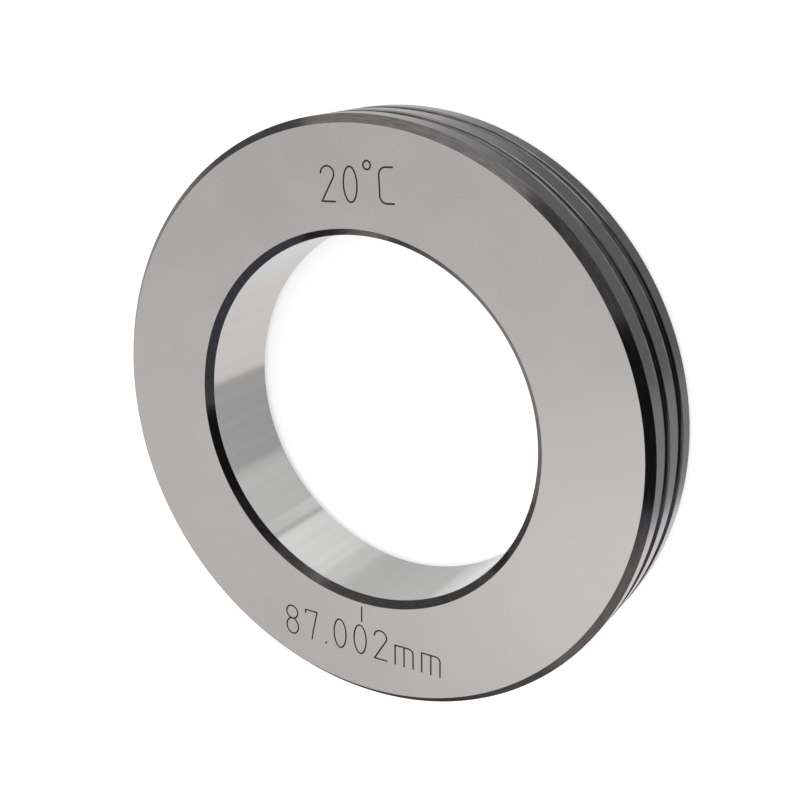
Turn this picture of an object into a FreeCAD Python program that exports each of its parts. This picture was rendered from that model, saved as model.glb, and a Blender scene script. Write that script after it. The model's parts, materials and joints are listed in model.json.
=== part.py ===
"""Setting ring: a ground steel ring with a bore of known size, for setting a three-point bore micrometer.

The ring lies on its back face, with the engraved face up.
Origin: centre of the back face. +Z runs along the bore, out of the engraved face.
+X is the reading direction of the engraved size, and +Y is the way up of its figures.
All lengths are in millimetres, and the section is drawn in the XZ plane and revolved about Z.
"""

import FreeCAD, Part
import os
import Sketcher

DOCUMENT_NAME = "SettingRing"
NODE_NAME = "setting_ring"
SHEET_NAME = "Sizes"
FIRST_ROW = 2

# How near, in millimetres, an edge must lie to the circle that a dress-up looks for
EDGE_TOLERANCE = 1e-4

# A sketch's own origin, and the two ends of a line in it
ORIGIN = (-1, 1)
START, END = 1, 2

# The round tool's nose is drawn as short straight runs, this many to its half circle
NOSE_RUNS = 12
QUARTER_TURN = 90

# Driving dimensions: alias, value and what it measures
DRIVING_SIZES = (
    ("bore_diameter", 87.002, "Honed bore, the size that the ring hands on at 20 degrees"),
    ("outside_diameter", 139.4, "Ground lands of the rim"),
    ("ring_width", 24.0, "From lapped face to lapped face"),
    ("rim_chamfer", 1.8, "Leg of the 45 degree chamfer at each end of the rim"),
    ("bore_chamfer", 1.65, "Leg of the 45 degree chamfer at each mouth of the bore"),
    ("groove_count", 2, "Grip grooves turned in the rim"),
    ("groove_radius", 2.0, "Nose of the round tool that turns the grooves"),
    ("groove_depth", 1.3, "Deepest line of each groove below the lands"),
    ("groove_pitch", 8.2, "From the middle of one groove to the middle of the next"),
    ("groove_offset", 0.2, "How far the set of grooves lies from mid width, towards the back face"),
)


def make_sheet(doc):
    """The spreadsheet that holds every driving dimension under its own alias."""
    sheet = doc.addObject("Spreadsheet::Sheet", SHEET_NAME)
    sheet.set("A1", "Size")
    sheet.set("B1", "Value")
    for row, (alias, value, meaning) in enumerate(DRIVING_SIZES, FIRST_ROW):
        sheet.set(f"A{row}", meaning)
        sheet.set(f"B{row}", str(value))
        sheet.setAlias(f"B{row}", alias)
    doc.recompute()
    return sheet


def origin_plane(body, role):
    """One of the body's own three origin planes."""
    for feature in body.Origin.OriginFeatures:
        if feature.Role == role:
            return feature
    raise ValueError(f"{body.Label} has no origin plane {role}")


def section_sketch(body, name):
    """An empty sketch in the XZ plane: across it runs the radius, and up it the height."""
    sketch = body.newObject("Sketcher::SketchObject", name)
    sketch.AttachmentSupport = [(origin_plane(body, "XZ_Plane"), "")]
    sketch.MapMode = "FlatFace"
    return sketch


def add_measure(sketch, name, constraint, expression):
    """A dimension of the sketch whose value comes from an expression."""
    index = sketch.addConstraint(constraint)
    sketch.renameConstraint(index, name)
    sketch.setExpression(f"Constraints.{name}", expression)


def draw_outline(sketch, corners):
    """Straight sides from corner to corner, closed, and each joined to the next."""
    after = corners[1:] + corners[:1]
    sides = [sketch.addGeometry(Part.LineSegment(a, b), False) for a, b in zip(corners, after)]
    for side, next_side in zip(sides, sides[1:] + sides[:1]):
        sketch.addConstraint(Sketcher.Constraint("Coincident", side, END, next_side, START))
    return sides


def draw_box_section(sketch, inner, outer, bottom, top):
    """A rectangle whose four sides each take their distance from the origin from an expression."""
    corners = [
        FreeCAD.Vector(1, 1, 0),
        FreeCAD.Vector(2, 1, 0),
        FreeCAD.Vector(2, 2, 0),
        FreeCAD.Vector(1, 2, 0),
    ]
    bottom_side, outer_side, top_side, inner_side = draw_outline(sketch, corners)
    for level_side in (bottom_side, top_side):
        sketch.addConstraint(Sketcher.Constraint("Horizontal", level_side))
    for upright_side in (outer_side, inner_side):
        sketch.addConstraint(Sketcher.Constraint("Vertical", upright_side))
    places = (
        ("inner_radius", "DistanceX", bottom_side, START, inner),
        ("outer_radius", "DistanceX", bottom_side, END, outer),
        ("bottom_height", "DistanceY", bottom_side, START, bottom),
        ("top_height", "DistanceY", top_side, START, top),
    )
    for name, kind, side, point, expression in places:
        add_measure(sketch, name, Sketcher.Constraint(kind, *ORIGIN, side, point, 1.0), expression)


def draw_tool_nose(sketch, radius, across, up):
    """Half a circle that bulges towards the axis, its radius and centre from expressions."""
    turns = [QUARTER_TURN * (2 * i / NOSE_RUNS - 1) for i in range(NOSE_RUNS + 1)]
    middle = FreeCAD.Vector(2, 1, 0)
    reach = FreeCAD.Vector(-0.5, 0, 0)
    corners = [middle + FreeCAD.Rotation(FreeCAD.Vector(0, 0, -1), turn) * reach for turn in turns]
    for i, (side, turn) in enumerate(zip(draw_outline(sketch, corners), turns)):
        places = (
            (f"nose_{i}_across", "DistanceX", f"{across} - {radius} * cos({turn} deg)"),
            (f"nose_{i}_up", "DistanceY", f"{up} + {radius} * sin({turn} deg)"),
        )
        for name, kind, expression in places:
            add_measure(sketch, name, Sketcher.Constraint(kind, *ORIGIN, side, START, 1.0), expression)


def circle_edges(feature, radius, heights):
    """Names of the feature's full circular edges of that radius at those heights."""
    names = []
    for number, edge in enumerate(feature.Shape.Edges, 1):
        curve = edge.Curve
        if not isinstance(curve, Part.Circle):
            continue
        same_radius = abs(curve.Radius - radius) < EDGE_TOLERANCE
        same_height = any(abs(curve.Center.z - height) < EDGE_TOLERANCE for height in heights)
        if same_radius and same_height:
            names.append(f"Edge{number}")
    if len(names) != len(heights):
        raise ValueError(f"{feature.Label}: found {names} at radius {radius} and heights {heights}")
    return names


def check_cut(before, after):
    """A cut that points away from the solid shows no error, so its volume is compared."""
    if after.Shape.Volume >= before.Shape.Volume:
        raise ValueError(f"{after.Label} took nothing away from {before.Label}")


def chamfer_edges(body, name, base, edges, alias):
    """A 45 degree chamfer on the named edges of the feature before it, with its leg from the sheet."""
    feature = body.newObject("PartDesign::Chamfer", name)
    feature.Base = (base, edges)
    feature.setExpression("Size", f"{SHEET_NAME}.{alias}")
    body.Document.recompute()
    check_cut(base, feature)
    return feature


def make_setting_ring(doc, sheet):
    """The ring: a revolved blank, chamfered at rim and bore, with grip grooves turned in its rim."""
    body = doc.addObject("PartDesign::Body", "RingBody")
    body.Label = NODE_NAME

    blank_section = section_sketch(body, "BlankSection")
    draw_box_section(
        blank_section,
        inner=f"{SHEET_NAME}.bore_diameter / 2",
        outer=f"{SHEET_NAME}.outside_diameter / 2",
        bottom="0",
        top=f"{SHEET_NAME}.ring_width",
    )
    blank = body.newObject("PartDesign::Revolution", "Blank")
    blank.Profile = blank_section
    blank.ReferenceAxis = (blank_section, ["V_Axis"])
    blank.Angle = 360
    doc.recompute()

    bore_radius = sheet.bore_diameter / 2
    rim_radius = sheet.outside_diameter / 2
    face_heights = [0.0, float(sheet.ring_width)]

    rim_edges = circle_edges(blank, rim_radius, face_heights)
    rim_chamfer = chamfer_edges(body, "RimChamfer", blank, rim_edges, "rim_chamfer")

    bore_edges = circle_edges(rim_chamfer, bore_radius, face_heights)
    bore_chamfer = chamfer_edges(body, "BoreChamfer", rim_chamfer, bore_edges, "bore_chamfer")

    set_length = f"({SHEET_NAME}.groove_count - 1) * {SHEET_NAME}.groove_pitch"
    groove_section = section_sketch(body, "GrooveSection")
    draw_tool_nose(
        groove_section,
        radius=f"{SHEET_NAME}.groove_radius",
        across=f"{SHEET_NAME}.outside_diameter / 2 + {SHEET_NAME}.groove_radius - {SHEET_NAME}.groove_depth",
        up=f"{SHEET_NAME}.ring_width / 2 - {SHEET_NAME}.groove_offset - {set_length} / 2",
    )
    first_groove = body.newObject("PartDesign::Groove", "FirstGroove")
    first_groove.Profile = groove_section
    first_groove.ReferenceAxis = (groove_section, ["V_Axis"])
    first_groove.Angle = 360
    doc.recompute()
    check_cut(bore_chamfer, first_groove)

    grooves = body.newObject("PartDesign::LinearPattern", "Grooves")
    grooves.Originals = [first_groove]
    grooves.Direction = (groove_section, ["V_Axis"])
    grooves.setExpression("Occurrences", f"{SHEET_NAME}.groove_count")
    grooves.setExpression("Length", set_length)
    body.Tip = grooves
    doc.recompute()
    return body


def check_document(doc):
    """Every object must have recomputed without a fault."""
    doc.recompute()
    for item in doc.Objects:
        if "Invalid" in item.State or "Error" in item.State:
            raise RuntimeError(f"{item.Label} did not recompute: {item.State}")


def export_node(body):
    """Writes the body's one valid solid to its own STEP file."""
    shape = body.Shape
    if shape.isNull() or not shape.isValid():
        raise RuntimeError(f"{body.Label} has no valid shape")
    if len(shape.Solids) != 1:
        raise RuntimeError(f"{body.Label} holds {len(shape.Solids)} solids")
    os.makedirs("parts", exist_ok=True)
    shape.exportStep(f"parts/{body.Label}.step")
    print(body.Label, "volume", round(shape.Volume, 2), "box", shape.BoundBox)


def main():
    doc = FreeCAD.newDocument(DOCUMENT_NAME)
    sheet = make_sheet(doc)
    ring = make_setting_ring(doc, sheet)
    check_document(doc)
    export_node(ring)


main()
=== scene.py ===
"""Looks of a steel setting ring for a bore micrometer.

The ring lies on its back face. Its section is modelled flat, turned about the bore's axis,
and engraved with single-line figures. Ground, honed, blackened and engraved surfaces each have
their own material. All lengths are in metres unless a name says otherwise.
"""

import json
import math

import bmesh
import bpy
from mathutils import Matrix, Quaternion, Vector


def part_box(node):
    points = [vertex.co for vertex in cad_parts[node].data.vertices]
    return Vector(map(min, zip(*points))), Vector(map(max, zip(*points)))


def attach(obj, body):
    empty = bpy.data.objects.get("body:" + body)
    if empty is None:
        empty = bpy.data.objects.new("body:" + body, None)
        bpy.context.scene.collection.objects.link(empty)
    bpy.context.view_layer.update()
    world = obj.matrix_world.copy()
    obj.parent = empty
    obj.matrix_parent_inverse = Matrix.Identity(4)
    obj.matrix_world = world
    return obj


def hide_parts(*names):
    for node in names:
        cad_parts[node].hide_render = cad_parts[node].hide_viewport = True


MM = 0.001
NODE = "setting_ring"

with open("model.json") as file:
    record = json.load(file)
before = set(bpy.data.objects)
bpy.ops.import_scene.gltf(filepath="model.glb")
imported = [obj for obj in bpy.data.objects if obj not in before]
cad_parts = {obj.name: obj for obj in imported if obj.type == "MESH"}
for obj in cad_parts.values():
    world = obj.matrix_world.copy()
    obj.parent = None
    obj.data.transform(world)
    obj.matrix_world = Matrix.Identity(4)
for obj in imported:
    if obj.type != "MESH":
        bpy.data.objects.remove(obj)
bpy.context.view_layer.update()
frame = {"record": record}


def mount(name):
    """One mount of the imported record."""
    return next(item for item in frame["record"]["mounts"] if item["name"] == name)


# Sizes that the frame gives
RIM_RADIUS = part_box(NODE)[1].x
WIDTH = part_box(NODE)[1].z
BORE_RADIUS = mount("bore")["dims"]["r_mm"] * MM
BORE_CHAMFER = (WIDTH - mount("bore")["dims"]["length_mm"] * MM) / 2

# Sizes of the turned section, as in the part's own sheet
RIM_CHAMFER = 1.8 * MM
GROOVE_COUNT = 2
GROOVE_RADIUS = 2.0 * MM
GROOVE_DEPTH = 1.3 * MM
GROOVE_PITCH = 8.2 * MM
GROOVE_OFFSET = 0.2 * MM

# Finer form that only the looks carry
FACE_EDGE_ROUND = 0.08 * MM
LAND_EDGE_ROUND = 0.04 * MM
ROUND_SEGMENTS = 3
GROOVE_STEPS = 30
TURN_STEPS = 288
NEAR = 0.001 * MM
SMOOTH_ANGLE = math.radians(12)
FLAT_ANGLE = math.radians(1)

# How squarely a polygon must look up or outwards to count as a face, a land or the bore's wall
FACE_LEVEL = 0.985
WALL_UPRIGHT = 0.75

# Engraving, measured on the face in the photo
FIGURE_HEIGHT = 7.7 * MM
FIGURE_WIDTH = 3.45 * MM
FIGURE_GAP = 2.35 * MM
LOWER_CASE_HEIGHT = 5.05 * MM
LOWER_CASE_WIDTH = 4.95 * MM
STROKE_RADIUS = 0.2 * MM
STROKE_SIDES = 4
STEPS_PER_TURN = 40
TIP_ANGLES = (30, 60, 84)


def deselect_all():
    """Nothing is selected, so that the next operator acts only on what is made for it."""
    bpy.ops.object.select_all(action="DESELECT")


def make_active(piece):
    """Only this piece is selected and active."""
    deselect_all()
    piece.select_set(True)
    bpy.context.view_layer.objects.active = piece


def pick_vertices(piece, wanted):
    """In edit mode, selects only the vertices for which wanted is true."""
    bpy.ops.mesh.select_mode(type="VERT")
    bpy.ops.mesh.select_all(action="DESELECT")
    mesh = bmesh.from_edit_mesh(piece.data)
    for vertex in mesh.verts:
        vertex.select_set(wanted(vertex.co))
    mesh.select_flush(True)
    bmesh.update_edit_mesh(piece.data)


def pick_edges(piece, wanted):
    """In edit mode, selects only the edges for whose two ends wanted is true."""
    bpy.ops.mesh.select_mode(type="EDGE")
    bpy.ops.mesh.select_all(action="DESELECT")
    mesh = bmesh.from_edit_mesh(piece.data)
    for edge in mesh.edges:
        edge.select_set(wanted(edge.verts[0].co, edge.verts[1].co))
    bmesh.update_edit_mesh(piece.data)


def groove_middles():
    """The height of each groove's middle."""
    lowest = WIDTH / 2 - GROOVE_OFFSET - (GROOVE_COUNT - 1) * GROOVE_PITCH / 2
    return [lowest + i * GROOVE_PITCH for i in range(GROOVE_COUNT)]


def groove_half_angle():
    """Half of the arc that the round tool leaves in the rim."""
    return math.acos((GROOVE_RADIUS - GROOVE_DEPTH) / GROOVE_RADIUS)


def groove_edges():
    """The heights of the two edges of each groove, from the back to the front."""
    half_width = GROOVE_RADIUS * math.sin(groove_half_angle())
    return [middle + side * half_width for middle in groove_middles() for side in (-1, 1)]


def dress_corners(piece, corners, leg, segments):
    """Cuts or rounds the section's corners at these (radius, height) places."""
    def is_corner(place):
        return any(math.hypot(place.x - r, place.z - z) < NEAR for r, z in corners)

    pick_vertices(piece, is_corner)
    bpy.ops.mesh.bevel(offset=leg, offset_type="OFFSET", segments=segments, affect="VERTICES")


def open_rim():
    """The section's outline, with the rim left open from edge to edge of each groove."""
    deselect_all()
    bpy.ops.mesh.primitive_plane_add(size=1, rotation=(math.pi / 2, 0, 0))
    piece = bpy.context.object
    piece.name = "setting_ring_finish"
    bpy.ops.object.transform_apply(location=True, rotation=True, scale=True)
    bpy.ops.object.mode_set(mode="EDIT")
    bpy.ops.transform.resize(value=(RIM_RADIUS - BORE_RADIUS, 1, WIDTH))
    bpy.ops.transform.translate(value=((RIM_RADIUS + BORE_RADIUS) / 2, 0, WIDTH / 2))
    for height in groove_edges():
        bpy.ops.mesh.select_all(action="SELECT")
        bpy.ops.mesh.bisect(plane_co=(0, 0, height), plane_no=(0, 0, 1))
    bpy.ops.mesh.select_all(action="SELECT")
    bpy.ops.mesh.delete(type="ONLY_FACE")

    def is_inner_cut(a, b):
        return abs(a.z - b.z) < NEAR and NEAR < a.z < WIDTH - NEAR

    def is_groove_mouth(a, b):
        middle = (a.z + b.z) / 2
        return min(a.x, b.x) > RIM_RADIUS - NEAR and any(
            abs(middle - groove) < NEAR for groove in groove_middles()
        )

    pick_edges(piece, lambda a, b: is_inner_cut(a, b) or is_groove_mouth(a, b))
    bpy.ops.mesh.delete(type="EDGE")
    return piece


def sweep_grooves(piece):
    """Spins the back edge of each groove along the tool's round nose to its front edge."""
    half_angle = groove_half_angle()
    centre_radius = RIM_RADIUS + GROOVE_RADIUS - GROOVE_DEPTH
    for back_edge, middle in zip(groove_edges()[::2], groove_middles()):
        pick_vertices(piece, lambda v: v.x > RIM_RADIUS - NEAR and abs(v.z - back_edge) < NEAR)
        bpy.ops.mesh.spin(
            steps=GROOVE_STEPS, angle=2 * half_angle, center=(centre_radius, 0, middle), axis=(0, -1, 0)
        )
    bpy.ops.mesh.select_all(action="SELECT")
    bpy.ops.mesh.remove_doubles(threshold=NEAR)
    bpy.ops.mesh.select_all(action="SELECT")
    bpy.ops.mesh.edge_face_add()
    bpy.ops.mesh.dissolve_limited(angle_limit=FLAT_ANGLE)


def model_section():
    """The ring's section as one flat face in the XZ plane, with every chamfer, groove and round."""
    piece = open_rim()
    sweep_grooves(piece)
    dress_corners(piece, [(RIM_RADIUS, z) for z in (0, WIDTH)], RIM_CHAMFER, 1)
    dress_corners(piece, [(BORE_RADIUS, z) for z in (0, WIDTH)], BORE_CHAMFER, 1)

    land_edges = [(RIM_RADIUS, z) for z in (*groove_edges(), RIM_CHAMFER, WIDTH - RIM_CHAMFER)]
    dress_corners(piece, land_edges, LAND_EDGE_ROUND, ROUND_SEGMENTS)

    face_edges = [(RIM_RADIUS - RIM_CHAMFER, z) for z in (0, WIDTH)]
    face_edges += [(BORE_RADIUS + BORE_CHAMFER, z) for z in (0, WIDTH)]
    face_edges += [(BORE_RADIUS, z) for z in (BORE_CHAMFER, WIDTH - BORE_CHAMFER)]
    dress_corners(piece, face_edges, FACE_EDGE_ROUND, ROUND_SEGMENTS)
    return piece


def turn_section(piece):
    """Turns the section's outline about the bore's axis into the closed ring."""
    bpy.ops.mesh.select_all(action="SELECT")
    bpy.ops.mesh.delete(type="ONLY_FACE")
    bpy.ops.mesh.select_all(action="SELECT")
    bpy.ops.mesh.spin(steps=TURN_STEPS, angle=2 * math.pi, center=(0, 0, 0), axis=(0, 0, 1))
    bpy.ops.mesh.select_all(action="SELECT")
    bpy.ops.mesh.remove_doubles(threshold=NEAR)
    bpy.ops.mesh.normals_make_consistent(inside=False)
    bpy.ops.object.mode_set(mode="OBJECT")


def arc(centre, across, up, start, end):
    """Points of an elliptical arc, from one angle in degrees to another."""
    steps = max(2, round(abs(end - start) / 360 * STEPS_PER_TURN))
    angles = [math.radians(start + (end - start) * i / steps) for i in range(steps + 1)]
    return [Vector((centre[0] + across * math.cos(a), centre[1] + up * math.sin(a))) for a in angles]


def line(*points):
    """Points of a stroke made of straight runs."""
    return [Vector(point) for point in points]


def draw_two(wide, tall):
    """A round hook that runs straight down to the left end of the base, and the base."""
    hook = wide / 2
    centre = (hook, tall - hook * 0.98)
    return [arc(centre, hook, hook * 0.98, 175, -22) + line((0, 0)), line((0, 0), (wide, 0))]


def draw_seven(wide, tall):
    """A bar with a short serif at its left, and a steep stem."""
    serif = 0.11 * tall
    foot = wide * 0.5
    return [
        line((0, tall - serif), (0, tall)),
        line((0, tall), (wide, tall)),
        line((wide, tall), (foot + wide * 0.12, tall * 0.3), (foot, 0)),
    ]


def draw_eight(wide, tall):
    """A small loop on a larger one."""
    waist = tall * 0.55
    top = arc((wide / 2, (tall + waist) / 2), wide * 0.48, (tall - waist) / 2, -90, 270)
    bottom = arc((wide / 2, waist / 2), wide / 2, waist / 2, 90, 450)
    return [top, bottom]


def draw_zero(wide, tall):
    """A narrow ellipse."""
    return [arc((wide / 2, tall / 2), wide / 2, tall / 2, 90, 450)]


def draw_point(wide, tall):
    """A short slanting mark at the foot of the line."""
    return [line((0, 0), (wide, 0.045 * tall))]


def draw_degree(wide, tall):
    """A small ring that rises above the figures and reaches over the gaps on either side."""
    return [arc((wide * 0.4, tall * 1.045), wide, wide, 90, 450)]


def draw_capital_c(wide, tall):
    """A bracket with large round corners."""
    corner = wide * 0.48
    top = line((wide, tall)) + arc((corner, tall - corner), corner, corner, 90, 180)
    bottom = arc((corner, corner), corner, corner, 180, 270) + line((wide, 0))
    return [top + bottom]


def draw_small_m(wide, tall):
    """Three stems under a flat top with one round shoulder."""
    shoulder = wide * 0.24
    top = line((0, tall)) + arc((wide - shoulder, tall - shoulder), shoulder, shoulder, 90, 0)
    return [line((0, 0), (0, tall)), top + line((wide, 0)), line((wide / 2, tall), (wide / 2, 0))]


# How each character is drawn: function, width and height
GLYPHS = {
    "0": (draw_zero, FIGURE_WIDTH, FIGURE_HEIGHT),
    "2": (draw_two, FIGURE_WIDTH, FIGURE_HEIGHT),
    "7": (draw_seven, FIGURE_WIDTH, FIGURE_HEIGHT),
    "8": (draw_eight, FIGURE_WIDTH, FIGURE_HEIGHT),
    ".": (draw_point, 0.25 * MM, FIGURE_HEIGHT),
    "°": (draw_degree, 0.93 * MM, FIGURE_HEIGHT),
    "C": (draw_capital_c, FIGURE_WIDTH, FIGURE_HEIGHT),
    "m": (draw_small_m, LOWER_CASE_WIDTH, LOWER_CASE_HEIGHT),
}

# Each line of the engraving: text, middle of its base line, turn in degrees
SIZE_LINE = ("87.002mm", Vector((-0.25 * MM, -58.95 * MM)), 0.7)
WARMTH_LINE = ("20°C", Vector((-0.35 * MM, 51.05 * MM)), 3.3)
TICK = line((0, -46.3 * MM), (0, -50.1 * MM))


def lay_out(text, middle, turn_degrees):
    """The strokes of one line of text, in place on the face."""
    length = sum(GLYPHS[letter][1] for letter in text) + FIGURE_GAP * (len(text) - 1)
    turn = Matrix.Rotation(math.radians(turn_degrees), 2)
    strokes = []
    start = -length / 2
    for letter in text:
        draw, wide, tall = GLYPHS[letter]
        for stroke in draw(wide, tall):
            strokes.append([middle + turn @ (point + Vector((start, 0))) for point in stroke])
        start += wide + FIGURE_GAP
    return strokes


def round_ended(points, closed):
    """The stroke's points with the cutter's radius at each; open ends are drawn out to a round tip."""
    if closed:
        return [(point, 1.0) for point in points[:-1]]
    tips = []
    for end, inner in ((points[0], points[1]), (points[-1], points[-2])):
        away = (end - inner).normalized()
        reach = [math.sin(math.radians(angle)) for angle in TIP_ANGLES]
        tips.append([(end + away * STROKE_RADIUS * r, math.sqrt(1 - r * r)) for r in reach])
    return tips[0][::-1] + [(point, 1.0) for point in points] + tips[1]


def cutter_for(strokes):
    """One mesh of all the round-nosed cuts, centred on the engraved face."""
    path = bpy.data.curves.new("engraving_path", "CURVE")
    path.dimensions = "3D"
    path.bevel_depth = STROKE_RADIUS
    path.bevel_resolution = STROKE_SIDES
    path.use_fill_caps = True
    for stroke in strokes:
        closed = (stroke[0] - stroke[-1]).length < NEAR
        points = round_ended(stroke, closed)
        spline = path.splines.new("POLY")
        spline.points.add(len(points) - 1)
        spline.use_cyclic_u = closed
        for knot, (place, radius) in zip(spline.points, points):
            knot.co = (place.x, place.y, WIDTH, 1)
            knot.radius = radius
    cutter = bpy.data.objects.new("engraving_cutter", path)
    bpy.context.scene.collection.objects.link(cutter)
    make_active(cutter)
    bpy.ops.object.convert(target="MESH")
    return bpy.context.object


def engrave(piece, material):
    """Cuts the size, the tick at the measured diameter and the reference warmth into the face."""
    strokes = lay_out(*SIZE_LINE) + lay_out(*WARMTH_LINE) + [TICK]
    cutter = cutter_for(strokes)
    cutter.data.materials.clear()
    cutter.data.materials.append(material)
    make_active(piece)
    cut = piece.modifiers.new("engraving", "BOOLEAN")
    cut.operation = "DIFFERENCE"
    cut.solver = "EXACT"
    cut.use_self = True
    cut.material_mode = "TRANSFER"
    cut.object = cutter
    bpy.ops.object.modifier_apply(modifier=cut.name)
    bpy.data.objects.remove(cutter)


def assign_finishes(piece, face, bore, land, blackened):
    """Gives each face of the turned ring the finish of the surface it lies on."""
    for material in (face, bore, land, blackened):
        piece.data.materials.append(material)
    for polygon in piece.data.polygons:
        out = Vector((polygon.center.x, polygon.center.y, 0))
        radius = out.length
        height = polygon.center.z
        facing_out = polygon.normal.dot(out.normalized())
        on_face = height < FACE_EDGE_ROUND or height > WIDTH - FACE_EDGE_ROUND
        if on_face and abs(polygon.normal.z) > FACE_LEVEL:
            polygon.material_index = 0
        elif radius < BORE_RADIUS + FACE_EDGE_ROUND and facing_out < -WALL_UPRIGHT:
            polygon.material_index = 1
        elif radius > RIM_RADIUS - LAND_EDGE_ROUND and facing_out > FACE_LEVEL:
            polygon.material_index = 2
        else:
            polygon.material_index = 3


def smooth_turned(piece):
    """Smooth shading round the ring and along its small rounds. Sharper edges of the section stay crisp."""
    make_active(piece)
    bpy.ops.object.shade_smooth_by_angle(angle=SMOOTH_ANGLE)
    weighted = piece.modifiers.new("flat_weight", "WEIGHTED_NORMAL")
    weighted.keep_sharp = True
    bpy.ops.object.modifier_apply(modifier=weighted.name)


class Signal:
    """A shader socket that can be reckoned with: each operator adds a Math node."""

    def __init__(self, shader, socket):
        self.shader = shader
        self.socket = socket

    def __add__(self, other):
        return self.shader.math("ADD", self, other)

    __radd__ = __add__

    def __sub__(self, other):
        return self.shader.math("SUBTRACT", self, other)

    def __rsub__(self, other):
        return self.shader.math("SUBTRACT", other, self)

    def __mul__(self, other):
        return self.shader.math("MULTIPLY", self, other)

    __rmul__ = __mul__


class Shader:
    """The node tree of a material or the world, with one method that adds any node."""

    def __init__(self, tree):
        self.tree = tree
        self.tree.nodes.clear()

    def node(self, kind, settings=None, sockets=None, output=0):
        """Adds a node, sets it up, then fills or links its sockets. Gives the wanted output."""
        made = self.tree.nodes.new(kind)
        for name, value in (settings or {}).items():
            setattr(made, name, value)
        for place, value in (sockets or {}).items():
            if isinstance(value, Signal):
                self.tree.links.new(value.socket, made.inputs[place])
            else:
                made.inputs[place].default_value = value
        return Signal(self, made.outputs[output]) if made.outputs else made

    def math(self, operation, *values):
        """One Math node on numbers or signals."""
        return self.node("ShaderNodeMath", {"operation": operation}, dict(enumerate(values)))

    def vector(self, operation, first, second=(0, 0, 0), output=0):
        """One Vector Math node. Output 1 gives a number, such as a dot product."""
        settings = {"operation": operation}
        return self.node("ShaderNodeVectorMath", settings, {0: first, 1: second}, output)

    def mix_colour(self, share, first, second):
        """Colour between two colours or signals."""
        settings = {"data_type": "RGBA"}
        return self.node("ShaderNodeMix", settings, {0: share, 6: first, 7: second}, output=2)

    def step(self, value, low, high):
        """0 below low and 1 above high, with a smooth rise between."""
        settings = {"interpolation_type": "SMOOTHSTEP"}
        return self.node("ShaderNodeMapRange", settings, {0: value, 1: low, 2: high})

    def place(self):
        """Object coordinates, as a vector and as x, y and z."""
        vector = self.node("ShaderNodeTexCoord", output=3)
        parts = [self.node("ShaderNodeSeparateXYZ", None, {0: vector}, output=i) for i in range(3)]
        return vector, *parts

    def turned_place(self, stretch):
        """Coordinates that follow the turning: radius and height at full scale, the angle squeezed."""
        _, x, y, z = self.place()
        radius = self.math("SQRT", x * x + y * y)
        angle = self.math("ARCTAN2", y, x)
        sockets = {0: radius, 1: angle * stretch, 2: z}
        return self.node("ShaderNodeCombineXYZ", None, sockets)

    def long_place(self, squeeze):
        """Coordinates drawn out along the bore: full scale round it, the height squeezed."""
        _, x, y, z = self.place()
        return self.node("ShaderNodeCombineXYZ", None, {0: x, 1: y, 2: z * squeeze})

    def noise(self, vector, scale, detail=2.0):
        """Soft random grain from 0 to 1, with that many specks to a metre."""
        sockets = {"Vector": vector, "Scale": scale, "Detail": detail}
        return self.node("ShaderNodeTexNoise", None, sockets)

    def ray_kinds(self):
        """1 on camera rays, on glossy rays and on transmission rays, and 0 on all others."""
        kinds = ("Is Camera Ray", "Is Glossy Ray", "Is Transmission Ray")
        return [self.node("ShaderNodeLightPath", output=kind) for kind in kinds]

    def bump(self, height, distance):
        """A normal that follows the height, at that greatest depth in metres."""
        return self.node("ShaderNodeBump", None, {"Height": height, "Distance": distance})


def new_material(name):
    """An empty node material and its shader."""
    material = bpy.data.materials.new(name)
    material.use_nodes = True
    return material, Shader(material.node_tree)


# A turn of 1 is a full circle
ALONG_BORE = 0.25


def metal(shader, colour, roughness, normal=None, anisotropic=0.0, metallic=1.0, turn=0.0):
    """The surface itself, joined to the output. A quarter turn spreads its shine along the bore."""
    sockets = {
        "Base Color": colour,
        "Metallic": metallic,
        "Roughness": roughness,
        "Anisotropic": anisotropic,
        "Anisotropic Rotation": turn,
    }
    if normal is not None:
        sockets["Normal"] = normal
    surface = shader.node("ShaderNodeBsdfPrincipled", None, sockets)
    shader.node("ShaderNodeOutputMaterial", None, {0: surface})


# Colours of each finish, from its darker to its lighter parts
FACE_GREYS = ((0.582, 0.578, 0.571, 1), (0.616, 0.594, 0.584, 1))
BORE_GREYS = ((0.63, 0.625, 0.618, 1), (0.77, 0.762, 0.754, 1))
LAND_GREYS = ((0.47, 0.47, 0.472, 1), (0.53, 0.528, 0.525, 1))
BLACKENED_GREYS = ((0.112, 0.108, 0.111, 1), (0.162, 0.152, 0.147, 1))
STROKE_BROWNS = ((0.014, 0.011, 0.01, 1), (0.034, 0.026, 0.022, 1))

# How deep the marks of each finish are
FACE_RELIEF = 0.0008 * MM
BORE_RELIEF = 0.0009 * MM
LAND_RELIEF = 0.0012 * MM
BLACKENED_RELIEF = 0.0015 * MM
STROKE_RELIEF = 0.01 * MM


def ground_face_steel():
    """Fine-ground, lapped steel: satin grey with a faint cloud and very fine scratches."""
    material, shader = new_material("ground_face_steel")
    vector, *_ = shader.place()
    cloud = shader.step(shader.noise(vector, 70.0, detail=3.0), 0.25, 0.75)
    grain = shader.noise(vector, 4200.0, detail=2.0)
    colour = shader.mix_colour(cloud, *FACE_GREYS)
    roughness = 0.24 + 0.05 * grain
    metal(shader, colour, roughness, shader.bump(grain, FACE_RELIEF))
    return material


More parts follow.
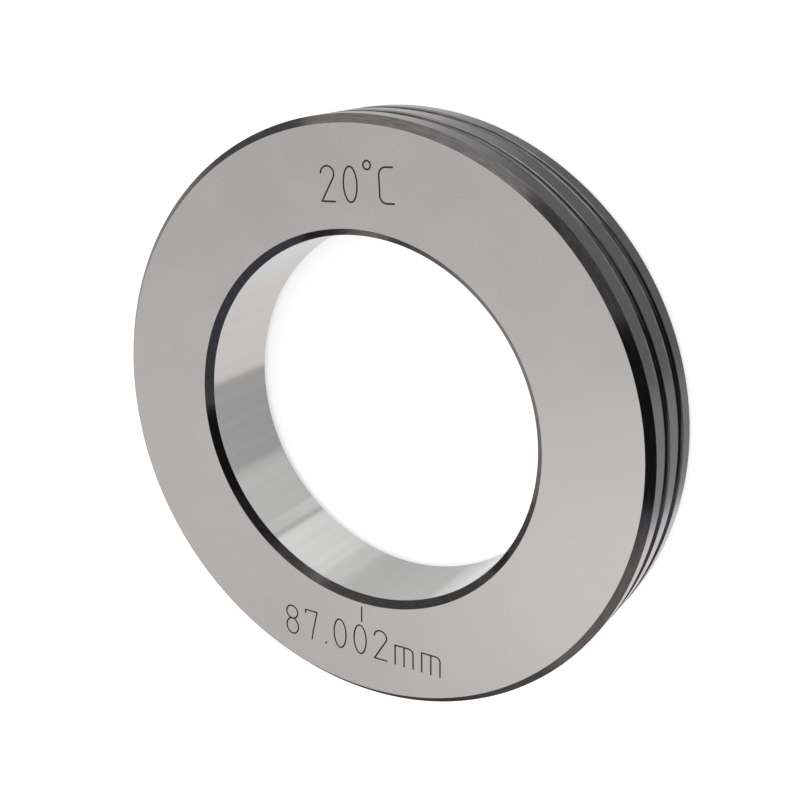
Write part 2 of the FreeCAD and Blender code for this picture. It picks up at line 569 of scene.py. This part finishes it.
def honed_bore_steel():
    """Honed steel: bright, with fine marks round the bore that draw its shine out along it."""
    material, shader = new_material("honed_bore_steel")
    round_marks = shader.noise(shader.turned_place(0.006), 3600.0, detail=3.0)
    strokes = shader.noise(shader.long_place(0.03), 2600.0, detail=3.0)
    bands = shader.noise(shader.long_place(0.02), 480.0, detail=2.0)
    grain = 0.5 * round_marks + 0.5 * strokes
    colour = shader.mix_colour(0.6 * bands + 0.4 * grain, *BORE_GREYS)
    roughness = 0.08 + 0.05 * strokes
    metal(shader, colour, roughness, shader.bump(round_marks, BORE_RELIEF), anisotropic=0.8, turn=ALONG_BORE)
    return material


def ground_land_steel():
    """Cylindrically ground steel of the rim's lands: satin, with fine round marks."""
    material, shader = new_material("ground_land_steel")
    turned = shader.turned_place(0.01)
    marks = shader.noise(turned, 6000.0, detail=3.0)
    bands = shader.noise(turned, 700.0, detail=2.0)
    colour = shader.mix_colour(bands, *LAND_GREYS)
    roughness = 0.13 + 0.06 * marks
    metal(shader, colour, roughness, shader.bump(marks, LAND_RELIEF), anisotropic=0.4, turn=ALONG_BORE)
    return material


def blackened_steel():
    """Blackened turned steel of the chamfers and grooves: dark, and a little worn along its marks."""
    material, shader = new_material("blackened_steel")
    turned = shader.turned_place(0.012)
    marks = shader.noise(turned, 4200.0, detail=3.0)
    smears = shader.step(shader.noise(shader.turned_place(0.008), 2900.0, detail=4.0), 0.36, 0.7)
    colour = shader.mix_colour(smears, *BLACKENED_GREYS)
    roughness = 0.085 + 0.05 * marks + 0.04 * smears
    metal(shader, colour, roughness, shader.bump(marks, BLACKENED_RELIEF), anisotropic=0.5)
    return material


def engraved_stroke():
    """The dull dark brown of an engraved line."""
    material, shader = new_material("engraved_stroke")
    vector, *_ = shader.place()
    grain = shader.noise(vector, 5200.0, detail=2.0)
    colour = shader.mix_colour(grain, *STROKE_BROWNS)
    metal(shader, colour, 0.65, shader.bump(grain, STROKE_RELIEF), metallic=0.0)
    return material


# Tints of the cards
WARM = (1.05, 0.985, 0.965)
MILD = (1.03, 0.988, 0.978)
PLAIN = (1.0, 1.0, 1.0)
FAINT = (0.985, 0.995, 1.02)
BLUISH = (0.95, 0.98, 1.1)
COOL = (0.9, 0.93, 1.17)

# What stands in front of the white background all round the ring, as mirrored in the steel: pale
# cards, lights and dark cloths. For each:
# azimuth from and to, counted from +X towards +Y, elevation from and to, softness of its edges,
# all in degrees, then brightness and tint. A later one covers those before it. The camera stands
# at azimuth 34 and elevation 52.
STUDIO = [
    # Grey cloths on the right, in front and on the left, and one overhead
    (20, 178, -46, 64, 4, 0.32, PLAIN),
    (-205, -76, -36, 28, 4, 0.3, PLAIN),
    (-62, 60, 54, 82, 5, 0.42, PLAIN),
    # Overhead and behind: the even cards that the face mirrors
    (-240, -100, 31, 89, 9, 0.63, PLAIN),
    (-160, -141, 38, 50, 5, 0.79, MILD),
    (-152, -100, 49, 58, 3, 0.86, MILD),
    (-136, -90, 51, 64, 3, 1.1, MILD),
    # Behind, at the height of the ring and lower
    (167, 222, -44, 1, 7, 0.56, WARM),
    (-131, -92, -38, -17, 4, 0.11, WARM),
    # The left-hand wall and its pale card
    (-112, -18, 0, 46, 6, 0.3, COOL),
    (-80, -33, -10, 12, 4, 0.74, WARM),
    # The right-hand light and its strips
    (70, 114, -3, 27, 3, 1.15, WARM),
    (112, 137, -4, 16, 3, 1.15, WARM),
    (86, 101, 8, 36, 3, 1.25, PLAIN),
    (74, 84, 8, 30, 2, 1.25, PLAIN),
    (54, 74, 4, 17, 2, 2.3, BLUISH),
    (38, 57, 28, 37, 2, 0.7, COOL),
    (62, 142, 54, 84, 2, 1.9, WARM),
    (110, 142, 35, 60, 3, 1.9, WARM),
    # The table in front
    (20, 72, -40, 3, 7, 0.95, FAINT),
    # The dark camera and the cloth round it
    (-30, 24, 0, 30, 2, 0.045, PLAIN),
    (-17, 40, 38, 64, 3, 0.04, PLAIN),
    (-17, 20, 30, 44, 3, 0.04, PLAIN),
    (36, 70, 38, 51, 3, 0.1, COOL),
    # Far below, seen through the bore
    (-176, 176, -88, -40, 3, 0.78, PLAIN),
    (-100, -32, -60, -40, 2, 0.77, WARM),
    (-32, 27, -60, -40, 2, 0.45, PLAIN),
    (24, 74, -60, -40, 4, 0.67, PLAIN),
    (59, 66, -60, -48, 1, 0.9, PLAIN),
    (66.5, 69, -60, -40, 0.6, 0.56, PLAIN),
    (69.5, 105, -60, -40, 0.8, 0.93, PLAIN),
    (118, 184, -60, -40, 3, 0.63, PLAIN),
    (-177, -146, -60, -40, 4, 0.9, PLAIN),
    # Straight below, seen in the lands of the rim
    (105, 195, -88, -56, 9, 0.26, PLAIN),
    (149, 205, -88, -56, 17, 0.7, PLAIN),
    (-72, 114, -88, -56, 3, 0.28, PLAIN),
    (-15, 108, -88, -56, 9, 0.16, FAINT),
]
WHITE = (1.0, 1.0, 1.0, 1.0)
SOFT_LIGHT = (0.85, 0.85, 0.85, 1.0)

# The floor, with how much light of its own it adds for the camera alone
FLOOR_SIZE = 6.0
FLOOR_GREY = (0.86, 0.86, 0.86, 1)
FLOOR_LIFT = 0.56

# The lamp, in metres and watts
LAMP_SIZE = 0.55
LAMP_POWER = 1.2
LAMP_PLACE = (-0.16, 0.49, 0.97)


class Room(Shader):
    """The world's node tree, with the level heading and the elevation of each ray."""

    def __init__(self, tree):
        super().__init__(tree)
        direction = self.node("ShaderNodeTexCoord", output=0)
        level = self.vector("MULTIPLY", direction, (1, 1, 0))
        self.heading = self.vector("NORMALIZE", level)
        height = self.node("ShaderNodeSeparateXYZ", None, {0: direction}, output=2)
        self.elevation = self.math("ARCSINE", height)

    def card(self, behind, start, stop, low, high, soft, level, tint):
        """One card in front of what is behind it."""
        middle, half = math.radians((start + stop) / 2), math.radians((stop - start) / 2)
        low, high, edge = math.radians(low), math.radians(high), math.radians(soft)
        facing = self.vector("DOT_PRODUCT", self.heading, (math.cos(middle), math.sin(middle), 0), 1)
        within = self.step(facing, math.cos(half + edge), math.cos(half - edge))
        above = self.step(self.elevation, low - edge, low + edge)
        beyond = self.step(self.elevation, high - edge, high + edge)
        return self.mix_colour(within * (above - beyond), behind, (*[level * part for part in tint], 1))


def build_world():
    """A white background. Mirrored rays see it past the studio's cards, and it lights all else softly."""
    world = bpy.data.worlds.new("studio_room")
    bpy.context.scene.world = world
    world.cycles.sampling_method = "NONE"
    world.use_nodes = True
    room = Room(world.node_tree)
    camera, glossy, through = room.ray_kinds()
    background = room.mix_colour(camera, SOFT_LIGHT, WHITE)
    mirrored = WHITE
    for card in STUDIO:
        mirrored = room.card(mirrored, *card)
    colour = room.mix_colour(room.math("MAXIMUM", glossy, through), background, mirrored)
    surface = room.node("ShaderNodeBackground", None, {0: colour, 1: 1.0})
    room.node("ShaderNodeOutputWorld", None, {0: surface})


def build_floor():
    """A plain pale floor that keeps the ring's shadow. Mirrored rays pass it, to the studio below."""
    deselect_all()
    bpy.ops.mesh.primitive_plane_add(size=FLOOR_SIZE)
    floor = bpy.context.object
    floor.name = "floor"
    material, shader = new_material("pale_floor")
    camera, glossy, through = shader.ray_kinds()
    passing = shader.math("MAXIMUM", glossy, through)
    shadowed = shader.node("ShaderNodeBsdfDiffuse", None, {0: FLOOR_GREY})
    lift = shader.node("ShaderNodeEmission", None, {0: WHITE, 1: camera * FLOOR_LIFT})
    seen = shader.node("ShaderNodeAddShader", None, {0: shadowed, 1: lift})
    clear = shader.node("ShaderNodeBsdfTransparent", None, {})
    surface = shader.node("ShaderNodeMixShader", None, {0: passing, 1: seen, 2: clear})
    shader.node("ShaderNodeOutputMaterial", None, {0: surface})
    floor.data.materials.append(material)


def build_lamp():
    """A broad soft lamp over the ring, which gives the floor its soft shadow."""
    lamp = bpy.data.lights.new("overhead_softbox", "AREA")
    lamp.shape = "SQUARE"
    lamp.size = LAMP_SIZE
    lamp.energy = LAMP_POWER
    holder = bpy.data.objects.new("overhead_softbox", lamp)
    holder.location = LAMP_PLACE
    holder.rotation_euler = Vector(holder.location).to_track_quat("Z", "Y").to_euler()
    bpy.context.scene.collection.objects.link(holder)


# Camera, fitted to the photo's edges
CAMERA_AZIMUTH = 34.27
CAMERA_ELEVATION = 52.31
CAMERA_DISTANCE = 287.37 * MM
CAMERA_AIM = Vector((10.456 * MM, 8.135 * MM, WIDTH))
CAMERA_ROLL = -118.5
CAMERA_LENS = 56.709


def build_camera():
    """The photo's view: from the engraved side, rolled so that the figures read upright."""
    azimuth = math.radians(CAMERA_AZIMUTH)
    elevation = math.radians(CAMERA_ELEVATION)
    away = Vector((
        math.cos(azimuth) * math.cos(elevation),
        math.sin(azimuth) * math.cos(elevation),
        math.sin(elevation),
    ))
    camera = bpy.data.objects.new("camera", bpy.data.cameras.new("camera"))
    camera.data.lens = CAMERA_LENS
    camera.data.clip_start = 10 * MM
    camera.location = Vector((0, 0, WIDTH)) + away * CAMERA_DISTANCE
    look = (CAMERA_AIM - camera.location).to_track_quat("-Z", "Y")
    camera.rotation_mode = "QUATERNION"
    camera.rotation_quaternion = look @ Quaternion((0, 0, 1), math.radians(CAMERA_ROLL))
    bpy.context.scene.collection.objects.link(camera)
    bpy.context.scene.camera = camera


def build_ring():
    """The dressed ring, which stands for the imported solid."""
    ring = model_section()
    turn_section(ring)
    assign_finishes(
        ring, ground_face_steel(), honed_bore_steel(), ground_land_steel(), blackened_steel()
    )
    engrave(ring, engraved_stroke())
    smooth_turned(ring)
    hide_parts(NODE)
    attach(ring, "root")
    return ring


build_camera()
build_ring()
build_world()
build_floor()
build_lamp()
bpy.context.scene.view_settings.view_transform = "Standard"
